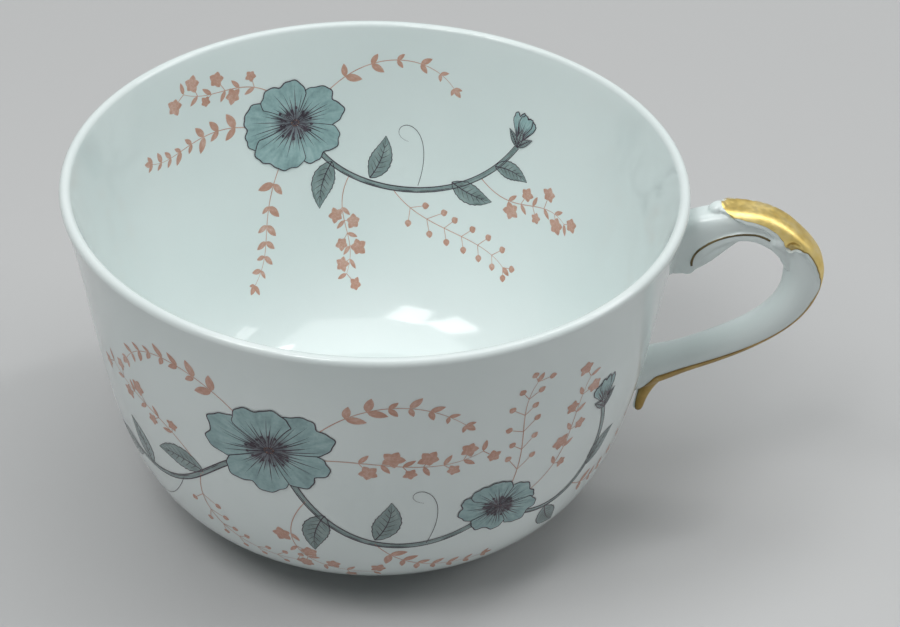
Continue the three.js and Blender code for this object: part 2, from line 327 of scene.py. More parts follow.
class Finish:
    """A material that is built up from nodes on one shader"""

    def __init__(self, name):
        self.material = bpy.data.materials.new(name)
        self.material.use_nodes = True
        self.tree = self.material.node_tree
        self.tree.nodes.clear()
        self.shader = self.node("BsdfPrincipled")
        self.node("OutputMaterial", {"Surface": self.shader.outputs["BSDF"]})

    def node(self, kind, inputs=None, **settings):
        return add_node(self.tree, kind, inputs, **settings)

    def show(self, looks):
        """Sets or links the shader's own sockets, and gives the finished material"""
        for key, value in looks.items():
            put(self.tree, value, self.shader.inputs[key])
        return self.material

    def object_place(self):
        return self.node("TexCoord").outputs["Object"]

    def surface_place(self):
        """The piece's own map: across and along it, from 0 to 1"""
        place = self.node("TexCoord").outputs["UV"]
        parts = self.node("SeparateXYZ", {"Vector": place})
        return parts.outputs["X"], parts.outputs["Y"]

    def noise(self, place, scale, detail=3, roughness=0.5):
        inputs = {"Vector": place, "Scale": scale, "Detail": detail, "Roughness": roughness}
        return self.node("TexNoise", inputs).outputs["Fac"]

    def ramp(self, factor, stops):
        """Colours or greys along a factor; each stop is a place and a colour"""
        made = self.node("ValToRGB", {"Fac": factor})
        elements = made.color_ramp.elements
        while len(elements) < len(stops):
            elements.new(0.5)
        for element, (place, colour) in zip(elements, stops):
            element.position = place
            element.color = (*colour, 1) if isinstance(colour, tuple) else (colour, colour, colour, 1)
        return made.outputs["Color"]

    def maths(self, operation, *values):
        inputs = dict(enumerate(values))
        return self.node("Math", inputs, operation=operation).outputs[0]

    def times(self, first, second):
        return self.maths("MULTIPLY", first, second)

    def total(self, first, *others):
        for other in others:
            first = self.maths("ADD", first, other)
        return first

    def away_from(self, value, middle):
        return self.maths("ABSOLUTE", self.maths("SUBTRACT", value, middle))

    def remap(self, value, low, high, new_low, new_high):
        """Eases a value from one range into another and keeps it there"""
        inputs = {"Value": value, "From Min": low, "From Max": high, "To Min": new_low, "To Max": new_high}
        return self.node("MapRange", inputs, interpolation_type="SMOOTHSTEP").outputs["Result"]

    def mix(self, factor, first, second):
        inputs = {0: factor, 2: first, 3: second}
        return self.node("Mix", inputs, data_type="FLOAT").outputs[0]

    def mix_colour(self, factor, first, second):
        inputs = {0: factor}
        for socket, colour in ((6, first), (7, second)):
            inputs[socket] = (*colour, 1) if isinstance(colour, tuple) else colour
        return self.node("Mix", inputs, data_type="RGBA").outputs[2]

    def bump(self, height, strength):
        inputs = {"Height": height, "Strength": strength, "Distance": bump_depth}
        return self.node("Bump", inputs).outputs["Normal"]


# Colours, and the finish of glaze and gold; a scale is about how many features lie on a metre
glaze_white = (0.79, 0.855, 0.845)
glaze_shade = (0.755, 0.83, 0.82)
bisque = (0.70, 0.66, 0.58)
speck_brown = (0.23, 0.17, 0.11)
bright_gold = (0.72, 0.51, 0.14), (0.84, 0.64, 0.23), (0.90, 0.73, 0.36)
# Spine and tail gold: browner and darker than the leaf's gold, in part painted shade
brown_gold_and_shade = (0.31, 0.20, 0.065), (0.43, 0.29, 0.10), (0.55, 0.39, 0.15)
# Near-black gold for the scroll lines: the same gold darkened as painted shade
painted_shade_gold_tones = (0.085, 0.07, 0.04), (0.14, 0.11, 0.06), (0.23, 0.18, 0.09)
# Brown for the painted shade along the gold's near edge
painted_shade_brown = (0.17, 0.11, 0.04)
glaze_refraction = 1.52
bump_depth = 0.05 * MM
tone_scale = 38
speck_scale = 95
speck_rarity = 0.94
speck_strength = 0.6
gloss_scale = 60
ripple_scale = 130
fine_ripple_scale = 700
fine_ripple_share = 0.15
foot_wobble_scale = 600
foot_wobble = 0.25 * MM
bare_height = 0.2 * MM
glazed_height = 0.3 * MM
bisque_roughness = 0.75
wear_scale = 520
gold_tone_scale = 300
scuff_scale = 1500
gold_grain_scale = 1100
shoulder_at = 0.74
shoulder_slant = 0.26
leaf_shoulder_wear = 0.44
worn_roughness = 0.12


def glaze_colours(finish, place):
    """Glaze that drifts a little in tone, with a few fine iron specks"""
    tones = [(0.35, glaze_shade), (0.65, glaze_white)]
    drift = finish.ramp(finish.noise(place, tone_scale, 2), tones)
    cells = finish.node("TexVoronoi", {"Vector": place, "Scale": speck_scale}).outputs
    spots = finish.remap(cells["Distance"], 0.008, 0.018, 1, 0)
    chosen = finish.node("SeparateColor", {"Color": cells["Color"]}).outputs["Red"]
    amount = finish.times(spots, finish.maths("GREATER_THAN", chosen, speck_rarity))
    return finish.mix_colour(finish.times(amount, speck_strength), drift, speck_brown)


def glaze_ripple(finish, place):
    """The faint unevenness of a glaze that ran as it melted"""
    slow = finish.noise(place, ripple_scale, 2)
    fine = finish.noise(place, fine_ripple_scale, 2)
    return finish.bump(finish.maths("MULTIPLY_ADD", fine, fine_ripple_share, slow), 0.12)


def porcelain_material():
    """Glazed all over, and bare clay where the foot ring was wiped"""
    finish = Finish("porcelain glaze")
    place = finish.object_place()
    height = finish.node("SeparateXYZ", {"Vector": place}).outputs["Z"]
    wobble = finish.times(finish.noise(place, foot_wobble_scale, 2), foot_wobble)
    bare = finish.remap(finish.total(height, wobble), bare_height, glazed_height, 1, 0)
    gloss = finish.remap(finish.noise(place, gloss_scale, 3), 0.3, 0.7, 0.07, 0.13)
    return finish.show({
        "Base Color": finish.mix_colour(bare, glaze_colours(finish, place), bisque),
        "Roughness": finish.mix(bare, gloss, bisque_roughness),
        "Normal": glaze_ripple(finish, place),
        "IOR": glaze_refraction,
    })


def gilding_material(name, tones, shoulder_wear=0.0):
    """Fired gold, rubbed through to the glaze along its edges, in patches and along one shoulder, with
    painted shade in brown along its near edge towards its end
    """
    finish = Finish(name)
    place = finish.object_place()
    across, along = finish.surface_place()
    near_edge = finish.remap(across, 0.07, 0, 0, 0.36)
    far_edge = finish.remap(across, 0.62, 0.96, 0, 0.5)
    off_shoulder = finish.away_from(finish.maths("MULTIPLY_ADD", along, shoulder_slant, across), shoulder_at)
    shoulder = finish.remap(off_shoulder, 0.02, 0.12, shoulder_wear, 0)
    end = finish.remap(finish.away_from(along, 0.5), 0.45, 0.5, 0, 0.3)
    patches = finish.noise(place, wear_scale, 4, 0.55)
    rubbed = finish.total(near_edge, far_edge, patches, finish.total(shoulder, end))
    worn = finish.remap(rubbed, 0.98, 1.12, 0, 1)
    tone = finish.ramp(finish.noise(place, gold_tone_scale, 4), list(zip((0.3, 0.5, 0.7), tones)))
    # Painted shade: the near edge darkens to brown over the film's second half
    painted_edge_shade_band = finish.remap(across, 0.02, 0.07, 0.8, 0)
    painted_edge_shade = finish.times(painted_edge_shade_band, finish.remap(along, 0.5, 0.62, 0, 1))
    tone = finish.mix_colour(painted_edge_shade, tone, painted_shade_brown)
    scuffs = finish.remap(finish.noise(place, scuff_scale, 5), 0.3, 0.7, 0.34, 0.5)
    return finish.show({
        "Base Color": finish.mix_colour(worn, tone, glaze_shade),
        "Metallic": finish.maths("SUBTRACT", 1.0, worn),
        "Roughness": finish.mix(worn, scuffs, worn_roughness),
        "Normal": finish.bump(finish.noise(place, gold_grain_scale, 4), 0.15),
    })


porcelain = porcelain_material()
leaf_gold = gilding_material("leaf gilding", bright_gold, leaf_shoulder_wear)
# The spine and tail gold is a darker copy of the gold, partly painted shade
line_gold_and_shade = gilding_material("line gilding with painted shade", brown_gold_and_shade)
# The scroll lines' gold is a darker copy of the gold, painted shade
scroll_gold_in_shade = gilding_material("scroll gilding in painted shade", painted_shade_gold_tones)


def finish_piece(piece, material, slot, *nodes):
    """Smooths a piece, gives it its material, sets it on the cup's body and hides the nodes it stands for"""
    take(piece)
    bpy.ops.object.shade_smooth()
    piece.data.materials.clear()
    piece.data.materials.append(material)
    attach(piece, "root")
    if nodes:
        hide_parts(*nodes)


# Bowl: its half outline is drawn corner by corner and spun about the axis

spin_steps = 144
outline_steps = 40
lip_steps = 14
floor_steps = 12
recess_steps = 4
bowl_merge = 0.002 * MM
corner_reach = 0.01 * MM


def bowl_outline():
    """The half outline, from the underside's middle round to the floor's, and its hard corners"""
    ring_inside = foot_radius - foot_width
    foot = [
        Vector((ring_inside - foot_edge - foot_spread, underside)),
        Vector((ring_inside - foot_edge, foot_edge)),
        Vector((ring_inside, 0)),
        Vector((foot_radius - foot_edge, 0)),
        Vector((foot_radius, foot_edge)),
    ]
    outer = wall_outline(outline_steps, *outside_offsets)
    inner = wall_outline(outline_steps, *inside_offsets)
    lip = [lip_point(-lip_lean + math.pi * step / lip_steps) for step in range(1, lip_steps)]
    recess = [Vector((foot[0].x * step / recess_steps, underside)) for step in range(recess_steps)]
    floor = []
    for step in range(1, floor_steps + 1):
        share = step / floor_steps
        floor.append(Vector((inner[-1].x * (1 - share), eased(inner[-1].y, floor_height, share))))
    return recess + foot + outer[::-1] + lip + inner + floor, foot + [foot_top]


def make_bowl():
    outline, corners = bowl_outline()
    places = [in_cup(point) for point in outline]
    sharp = [in_cup(corner) for corner in corners]
    clear_selection()
    bpy.ops.mesh.primitive_plane_add(size=MM, location=places[0])
    bowl = named("bowl_body")
    apply_place(bowl)
    edit_all(bowl)
    bpy.ops.mesh.merge(type="CENTER")
    for here, there in zip(places, places[1:]):
        bpy.ops.mesh.extrude_vertices_move(TRANSFORM_OT_translate={"value": there - here})
    bpy.ops.mesh.select_all(action="DESELECT")
    shape = bmesh.from_edit_mesh(bowl.data)
    for vertex in shape.verts:
        vertex.select = any((vertex.co - corner).length < corner_reach for corner in sharp)
    bmesh.update_edit_mesh(bowl.data)
    bpy.ops.mesh.bevel(affect="VERTICES", offset=foot_rounding, segments=3)
    bpy.ops.mesh.select_all(action="SELECT")
    bpy.ops.mesh.spin(steps=spin_steps, angle=math.tau, center=(axis_x, 0, 0), axis=(0, 0, 1))
    make_outward(bowl, bowl_merge)
    finish_piece(bowl, porcelain, "porcelain", "bowl")


# Handle: strands with an oval section that changes along a centre line in the upright plane

class Strand:
    """A station is a place along a strand, the sizes there in millimetres and how square the section is"""

    def __init__(self, legs, stations):
        self.legs = legs
        self.stations = [(at, thickness * MM, width * MM, power) for at, thickness, width, power in stations]
        self.end = len(legs)

    def place(self, at):
        """The point of the centre line, and the direction out of the loop there"""
        leg = min(int(at), self.end - 1)
        point, heading = along_curve(self.legs[leg], at - leg)
        return point, turned_left(heading)

    def half_thickness(self, at):
        return from_stations(self.stations, at, 1) / 2

    def half_width(self, at):
        return from_stations(self.stations, at, 2) / 2

    def power(self, at):
        return from_stations(self.stations, at, 3)

    def beside(self, at, outward_by, across):
        point, outward = self.place(at)
        return in_cup(point + outward * outward_by, across)

    def skin(self, at, angle, lift=0):
        """A point on the section, lifted off it; angle 0 is the outside of the loop"""
        power = 2 / self.power(at)
        up, side = math.cos(angle), math.sin(angle)
        outward_by = math.copysign(abs(up) ** power, up) * (self.half_thickness(at) + lift)
        across = math.copysign(abs(side) ** power, side) * (self.half_width(at) + lift)
        return self.beside(at, outward_by, across)

    def ring(self, at, count):
        return [self.skin(at, math.tau * side / count) for side in range(count)]

    def rings(self, start, end, steps, count):
        return [self.ring(start + (end - start) * step / steps, count) for step in range(steps + 1)]


def from_root(height, rise, reach):
    return Vector((outside_radius(height), height)) + reach * Vector((1, rise))


def from_upper_root(reach):
    return from_root(upper_root_height, upper_root_rise, reach)


def from_lower_root(reach):
    return from_root(lower_root_height, lower_root_rise, reach)


# Places along the loop: 0 upper root, 1 crown, 2 bend, 3 lower root
loop = Strand(
    [
        (from_upper_root(-root_depth), from_upper_root(upper_root_pull), crown - in_mm(4, 0), crown),
        (crown, crown + in_mm(5.2, 0), bend + in_mm(0, 5.2), bend),
        (bend, bend - in_mm(0, 8.8), from_lower_root(lower_root_pull), from_lower_root(-root_depth)),
    ],
    [
        (0, 9, 7, 3), (0.4, 8, 5.4, 3), (1, 3.2, 5, 3), (1.5, 3.6, 5.2, 3),
        (2, 6, 5.4, 2), (2.5, 5, 5.2, 2), (2.75, 5, 5.2, 2), (3, 6.8, 6.6, 2),
    ],
)

tail_tip_height = lower_root_height - tail_drop
tail_tip = Vector((outside_radius(tail_tip_height) + tail_gap, tail_tip_height))
tail = Strand(
    [(from_lower_root(tail_start), from_lower_root(0) + in_mm(2.4, 0), tail_tip)],
    [(0, 4.2, 4.4, 2), (1, 1.6, 1.8, 2)],
)

crown_underside = crown.y - crown_thickness / 2
bend_inside = bend.x - bend_thickness / 2
upper_root = from_upper_root(0)
strap_width = 2 * strap_standout / MM
strap = Strand(
    [
        (
            upper_root + in_mm(2.9, -1.6),
            Vector((crown.x - 4.4 * MM, crown_underside + 0.8 * MM)),
            Vector((crown.x + 6.4 * MM, crown_underside + 2.7 * MM)),
            Vector((bend_inside + 0.45 * MM, bend.y + 1.8 * MM)),
        ),
    ],
    [
        (0, 2, 5.4 + strap_width, 5), (0.5, 1.7, 5 + strap_width, 5), (0.7, 2.2, 5.1 + strap_width, 5),
        (0.8, 1.9, 5.1 + strap_width, 5), (0.92, 1.7, 4.8, 4), (1, 0.8, 4, 3),
    ],
)

# The web fills the corner under the strap, between the roll and the arm
web = Strand(
    [
        (
            upper_root + in_mm(0.4, -2.3),
            upper_root + in_mm(3.6, -2.5),
            upper_root + in_mm(5.2, -0.3),
            Vector((crown.x + 0.6 * MM, crown_underside + 0.1 * MM)),
        ),
    ],
    [(0, 2.6, 5.8, 4), (0.5, 2.1, 5.6, 4), (1, 1.2, 5.3, 4)],
)

# Half the angle that the leaf covers round the handle, at places along the loop
leaf_outline = [
    (0.79, 4), (0.85, 16), (0.90, 32), (0.96, 58), (1.06, 76), (1.2, 79), (1.31, 83), (1.42, 89),
    (1.5, 93), (1.57, 92), (1.63, 74), (1.69, 60), (1.77, 57), (1.87, 53), (1.95, 46), (2.03, 32), (2.1, 8),
]
leaf_from = leaf_outline[0][0]
leaf_to = leaf_outline[-1][0]
leaf_swell = 0.5, 1.5
leaf_swell_run = 0.06
leaf_settles_after = 0.05
leaf_settle_run = 0.2
leaf_sinks_from = 1.75
leaf_tip_height = 0.02 * MM
gold_from = 0.85
bead_at = 0.79
curl_at = 0.76

# Places along the loop between which each root comes out of the wall, and those where its plain rings end
upper_way_out = 0, 0.5
lower_way_out = 3, 2.6
clear_of_wall = 0.4 * MM
plain_from = 0.3
plain_to = 2.84
loop_sides = 40
joint_sides = 64


def leaf_angle(at):
    return math.radians(from_stations(leaf_outline, at, 1))


def leaf_height(at):
    """The leaf stands highest at its blunt start and sinks into the arm at its tip"""
    rise = eased(*leaf_swell, (at - leaf_from) / leaf_swell_run) * leaf_relief
    rise = eased(rise, leaf_relief, (at - leaf_from - leaf_settles_after) / leaf_settle_run)
    return eased(rise, leaf_tip_height, (at - leaf_sinks_from) / (leaf_to - leaf_sinks_from))


def wall_distance(point):
    radius = math.hypot(point.x - axis_x, point.y)
    return radius - outside_radius(point.z)


def wall_ring(way_out, distance, count, lift=0):
    """The ring of the loop that keeps one distance from the wall all round"""
    ring = []
    for side in range(count):
        angle = math.tau * side / count
        low, high = way_out
        for _ in range(30):
            middle = (low + high) / 2
            if wall_distance(loop.skin(middle, angle, lift)) < distance:
                low = middle
            else:
                high = middle
        ring.append(loop.skin(low, angle, lift))
    return ring


def make_loop():
    first = [wall_ring(upper_way_out, distance, loop_sides) for distance in (-joint_sink, clear_of_wall)]
    last = [wall_ring(lower_way_out, distance, loop_sides) for distance in (clear_of_wall, -joint_sink)]
    return grow_rings("loop", first + loop.rings(plain_from, plain_to, 70, loop_sides) + last)


def rounded_end(strand, count, reach):
    """Rings that close the end of a strand with a rounded tip"""
    rings = []
    point, outward = strand.place(strand.end)
    heading = Vector((outward.y, -outward.x))
    last = strand.ring(strand.end, count)
    steps = 6
    nearly_closed = steps + 0.2
    for step in range(1, steps + 1):
        turn = math.pi / 2 * step / nearly_closed
        moved = in_cup(point + heading * reach * math.sin(turn))
        rings.append([moved + (corner - in_cup(point)) * math.cos(turn) for corner in last])
    return rings


def make_tail():
    return grow_rings("tail", tail.rings(0, 1, 24, 24) + rounded_end(tail, 24, tail_tip_reach))


def make_roll():
    """The roll in which the strap starts beside the wall"""
    clear_selection()
    bpy.ops.mesh.primitive_cylinder_add(
        vertices=32,
        radius=roll_radius,
        depth=2 * strap.half_width(0),
        location=strap.beside(0, 0, 0) + roll_offset,
        rotation=(math.pi / 2, 0, 0),
    )
    roll = named("roll")
    apply_place(roll)
    edit_all(roll)
    bpy.ops.mesh.bevel(offset=roll_rounding, segments=2)
    end_edit()
    return roll


def make_ball(name, centre, sizes, tilt, segments, rings):
    """An oval ball, tilted in the upright plane"""
    clear_selection()
    bpy.ops.mesh.primitive_uv_sphere_add(segments=segments, ring_count=rings, radius=0.5, location=centre)
    ball = named(name)
    ball.scale = sizes
    ball.rotation_euler.y = tilt
    apply_place(ball)
    return ball


def make_bead():
    """The bead at the leaf's stalk"""
    centre = loop.beside(bead_at, loop.half_thickness(bead_at) + bead_lift, 0)
    return make_ball("bead", centre, bead_sizes, bead_tilt, 24, 16)


def make_curl(side):
    """The small curl in which the strap ends, against one lobe of the leaf"""
    centre = strap.beside(curl_at, curl_lift, (strap.half_width(curl_at) - curl_inset) * side)
    return make_ball("curl", centre, curl_sizes, curl_tilt, 20, 14)


def make_leaf():
    rings = []
    steps = 80
    across = 16
    for step in range(steps + 1):
        at = leaf_from + (leaf_to - leaf_from) * step / steps
        over, under = [], []
        for side in range(across + 1):
            share = side / across * 2 - 1
            angle = (leaf_angle(at) + leaf_margin) * share
            groove = leaf_groove * (1 - min(1, abs(share) * 2)) ** 2
            over.append(loop.skin(at, angle, leaf_height(at) - groove))
            under.append(loop.skin(at, angle, -leaf_relief))
        rings.append(over + under[::-1])
    return grow_rings("leaf", rings)


# The drop-shaped hollow in each side lobe of the leaf
hollow_at, hollow_turn = 1.545, math.radians(84)
hollow_tip_at, hollow_tip_turn = 1.6, math.radians(74)
hollow_ahead = 1.6 * MM
hollow_behind = 1.15 * MM
hollow_half_width = 1 * MM
hollow_depth = MM
hollow_limit = 2.2 * MM
hollow_power = 1.2
hollow_facing = 0.1


def press_hollow(handle, side):
    centre = loop.skin(hollow_at, hollow_turn * side, leaf_relief)
    outward = (loop.skin(hollow_at, hollow_turn * side, 2 * leaf_relief) - centre).normalized()
    heading = loop.skin(hollow_tip_at, hollow_tip_turn * side, leaf_relief) - centre
    heading = (heading - outward * heading.dot(outward)).normalized()
    sideways = outward.cross(heading)
    handle.data.update()
    for vertex in handle.data.vertices:
        offset = vertex.co - centre
        if offset.length_squared > hollow_limit ** 2 or vertex.normal.dot(outward) < hollow_facing:
            continue
        run = offset.dot(heading)
        reach = hollow_ahead if run > 0 else hollow_behind
        share = (run / reach) ** 2 + (offset.dot(sideways) / hollow_half_width) ** 2
        if share < 1:
            vertex.co -= outward * hollow_depth * (1 - share) ** hollow_power
    handle.data.update()


def make_handle():
    """All the handle's forms, cast into one body"""
    parts = [make_loop(), make_tail(), grow_rings("strap", strap.rings(0, 1, 30, 32))]
    parts += [grow_rings("web", web.rings(0, 1, 24, 32)), make_roll(), make_bead(), make_leaf()]
    parts += [make_curl(-1), make_curl(1)]
    handle = join(parts, "handle_body")
    apply_modifier(handle, "REMESH", mode="VOXEL", voxel_size=cast_voxel, use_smooth_shade=True)
    apply_modifier(handle, "SMOOTH", factor=0.5, iterations=cast_rounds)
    press_hollow(handle, -1)
    press_hollow(handle, 1)
    apply_modifier(handle, "SMOOTH", factor=0.5, iterations=carving_rounds)
    finish_piece(handle, porcelain, "porcelain", "handle")
    return handle


def make_joint(name, way_out, node_name):
    """The glaze that fills the corner between the wall and one root of the handle"""
    steps = 8
    section = [(joint_fillet, -joint_sink)]
    for step in range(steps + 1):
        turn = math.pi / 2 * step / steps
        section.append((joint_fillet * (1 - math.sin(turn)), joint_fillet * (1 - math.cos(turn))))
    section += [(-joint_sink, joint_fillet), (-joint_sink, -joint_sink), section[0]]
    rings = [wall_ring(way_out, away, joint_sides, lift) for lift, away in section]
    joint = grow_rings(name, rings, fill="NOTHING")
    finish_piece(joint, porcelain, "slip", node_name)


# Gold film, laid on the handle and drawn tight to it

# Each film starts at a place on its strand and has a run along it; a rounding or a taper is at an end
leaf_gold_rounding = 0.05
leaf_gold_least = 0.03
leaf_gold_shares = 0.9, 1
leaf_gold_widens_from = 1
leaf_gold_widening_run = 0.45
spine_from = leaf_to - 0.08
spine_run = 3.04 - leaf_to
spine_half_angles = math.radians(44), math.radians(82)
spine_tapers = 9, 12
spine_least = 0.02
tail_gold_from = 0.3
tail_gold_run = 0.76
tail_gold_half_angle = math.radians(155)
tail_gold_taper = 0.6
line_from = 0.005
line_run = 0.685
line_sinks_from = 0.55
line_sink_run = 0.15
line_drops = 0.25 * MM, 0.6 * MM
line_step = 0.01
hook_drop = 0.8 * MM
hook_share = 0.2


def draw_tight(film, handle, **settings):
    apply_modifier(film, "SHRINKWRAP", target=handle, wrap_mode="ABOVE_SURFACE", offset=film_lift, **settings)


def lay_film(name, across, along, spot, handle, material, node_name, lifted=False):
    """A film cut as a grid; one that starts lifted is first pressed straight down and evened out"""
    film = grid_blank(name, across, along)
    for corner in film.data.vertices:
        corner.co = spot(corner.co.x, (corner.co.y + 1) / 2)
    if lifted:
        pressed = {"wrap_method": "PROJECT", "use_negative_direction": True, "project_limit": film_drop_limit}
        draw_tight(film, handle, **pressed)
        apply_modifier(film, "SMOOTH", factor=0.5, iterations=film_rounds)
        draw_tight(film, handle, **pressed)
    else:
        draw_tight(film, handle, wrap_method="NEAREST_SURFACEPOINT")
    make_outward(film)
    apply_modifier(film, "SOLIDIFY", thickness=film_thickness, offset=0)
    finish_piece(film, material, "gilding", node_name)


def leaf_spot(across, along):
    at = gold_from + (leaf_to - gold_from) * along
    narrow = math.sqrt(min(1, along / leaf_gold_rounding + leaf_gold_least))
    narrow *= eased(*leaf_gold_shares, (at - leaf_gold_widens_from) / leaf_gold_widening_run)
    return loop.skin(at, leaf_angle(at) * across * narrow, leaf_height(at) + film_start_lift)


def spine_spot(across, along):
    """The film starts under the leaf's tip and runs on along the outside to the lower root"""
    at = spine_from + spine_run * along
    start, end = spine_tapers
    taper = math.sqrt(max(spine_least, min(1, start * along, end * (1 - along))))
    return loop.skin(at, eased(*spine_half_angles, along) * taper * across)


def tail_spot(across, along):
    narrow = math.sqrt(1 - tail_gold_taper * abs(2 * along - 1) ** 4)
    return tail.skin(tail_gold_from + tail_gold_run * along, tail_gold_half_angle * across * narrow)


def line_centre(along):
    """The line keeps to the strap's upper edge, sinks towards the curl and hooks down at the roll"""
    at = line_from + line_run * along
    drop = eased(*line_drops, (at - line_sinks_from) / line_sink_run)
    drop += hook_drop * (1 - min(1, along / hook_share)) ** 2
    place, outward = strap.place(at)
    return place + outward * (strap.half_thickness(at) - drop), strap.half_width(at)


def line_spot(side):
    def spot(across, along):
        (here, half_width), (there, _) = line_centre(along), line_centre(along + line_step)
        place = here + turned_left((there - here).normalized()) * line_half_width * across
        return in_cup(place, half_width * side)
    return spot


make_bowl()
handle = make_handle()
make_joint("upper_joint", upper_way_out, "upper_luting_slip")
make_joint("lower_joint", lower_way_out, "lower_luting_slip")
lay_film("thumb_leaf_gold", 64, 220, leaf_spot, handle, leaf_gold, "thumb_leaf_gilding", lifted=True)
lay_film("spine_gold", 24, 90, spine_spot, handle, line_gold_and_shade, "spine_gilding")
lay_film("tail_gold", 20, 24, tail_spot, handle, line_gold_and_shade, "tail_gilding")
lay_film("front_scroll_gold", 3, 80, line_spot(-1), handle, scroll_gold_in_shade, "scroll_line_gilding_front")
lay_film("back_scroll_gold", 3, 80, line_spot(1), handle, scroll_gold_in_shade, "scroll_line_gilding_back")


# Painted decoration: motifs are drawn flat, gathered by colour and laid round the wall

wrap_radius = 42 * MM
paint_thickness = 0.006 * MM
paint_spread = 0.004 * MM
paint_merge = 0.0005 * MM
paint_edge_angle = math.radians(60)
wash_lift = 0.02 * MM
ink_lift = 0.034 * MM
petal_lift = 0.045 * MM
petal_step = 0.016 * MM
petal_ink = petal_lift - ink_lift + petal_step / 2
sepal_level = petal_lift - wash_lift + 3 * petal_step
hair = 0.12 * MM
line = 0.2 * MM
pool_scale = 330
pool_weight = 0.45
streak_weight = 0.4
enamel_grain_scale = 2600
enamel_grain_weight = 0.15
petal_count = 5
petal_root = 0.08
petal_root_spread = 0.95
petal_shoulder = 0.26
petal_squareness = 3.2
petal_notch_width = 0.2
petal_waves = (0.022, 8, 1), (0.014, 19, 2)
leaf_teeth = 9
leaf_body = 0.93
leaf_tooth_depth = 0.1
stamen_count = 17
stamen_level = petal_ink + petal_count * petal_step
stamen_tip = 0.6 * MM, 0.45 * MM
pollen_ring = 0.25 * MM
pollen = 0.9 * MM, 0.6 * MM

petal_tones = (0.195, 0.30, 0.31), (0.30, 0.45, 0.455), (0.395, 0.55, 0.55)
petal_throat = (0.11, 0.075, 0.11)
leaf_tones = (0.15, 0.205, 0.20), (0.25, 0.33, 0.325), (0.36, 0.45, 0.44)
ink_tones = (0.030, 0.020, 0.032), (0.055, 0.037, 0.055), (0.12, 0.085, 0.11)
rust_tones = (0.48, 0.24, 0.165), (0.59, 0.345, 0.265), (0.70, 0.49, 0.41)


def enamel_material(name, tones, streaks, throat=None):
    """Thin fired enamel: a wash that pools and streaks along the motif, deeper at its start"""
    finish = Finish(name)
    place = finish.object_place()
    across, along = finish.surface_place()
    pool = finish.noise(place, pool_scale, 4, 0.6)
    grain = finish.noise(place, enamel_grain_scale, 3)
    run = {"X": finish.times(across, streaks), "Y": finish.times(along, 2.0)}
    streak = finish.noise(finish.node("CombineXYZ", run).outputs["Vector"], 1, 3)
    washes = (pool, pool_weight), (streak, streak_weight), (grain, enamel_grain_weight)
    depth = finish.total(*[finish.times(wash, weight) for wash, weight in washes])
    colour = finish.ramp(depth, list(zip((0.34, 0.5, 0.64), tones)))
    if throat:
        reach = finish.remap(finish.total(along, finish.times(streak, 0.3)), 0.22, 0.62, 0.75, 0)
        colour = finish.mix_colour(reach, colour, throat)
    gloss = finish.remap(grain, 0.3, 0.7, 0.1, 0.2)
    return finish.show({"Base Color": colour, "Roughness": gloss, "IOR": glaze_refraction})


petal_enamel = enamel_material("petal enamel", petal_tones, 9, petal_throat)
leaf_enamel = enamel_material("leaf enamel", leaf_tones, 3)
ink_enamel = enamel_material("ink enamel", ink_tones, 1)
rust_enamel = enamel_material("rust enamel", rust_tones, 2)

petal_blank = grid_blank("petal_blank", 24, 9)
leaf_blank = grid_blank("leaf_blank", 6, 20)
stroke_blank = grid_blank("stroke_blank", 1, 20)
edge_blank = grid_blank("edge_blank", 1, 56)
drop_blank = grid_blank("drop_blank", 4, 6)


def flat_copy(blank, spot, level):
    """A copy of a flat blank, every corner moved to its spot in the drawing"""
    piece = blank.copy()
    piece.data = blank.data.copy()
    bpy.context.collection.objects.link(piece)
    for corner in piece.data.vertices:
        place = spot(corner.co.x, (corner.co.y + 1) / 2)
        corner.co = (place.x, place.y, level)
    return piece


def pointing(degrees):
    return Vector((math.cos(math.radians(degrees)), math.sin(math.radians(degrees))))


def on_path(path, share):
    """The place and heading at a share of a path of points"""
    at = min(max(share, 0), 1) * (len(path) - 1)
    leg = min(int(at), len(path) - 2)
    before, after = path[max(leg - 1, 0)], path[min(leg + 2, len(path) - 1)]
    heading = (after - before).normalized()
    return path[leg].lerp(path[leg + 1], at - leg), heading


def curve_path(points, steps=40):
    """A smooth path pulled by points in millimetres"""
    points = [in_mm(*point) for point in points]
    return [along_curve(points, step / steps)[0] for step in range(steps + 1)]


def straight_path(start, end, steps=4):
    return [start.lerp(end, step / steps) for step in range(steps + 1)]


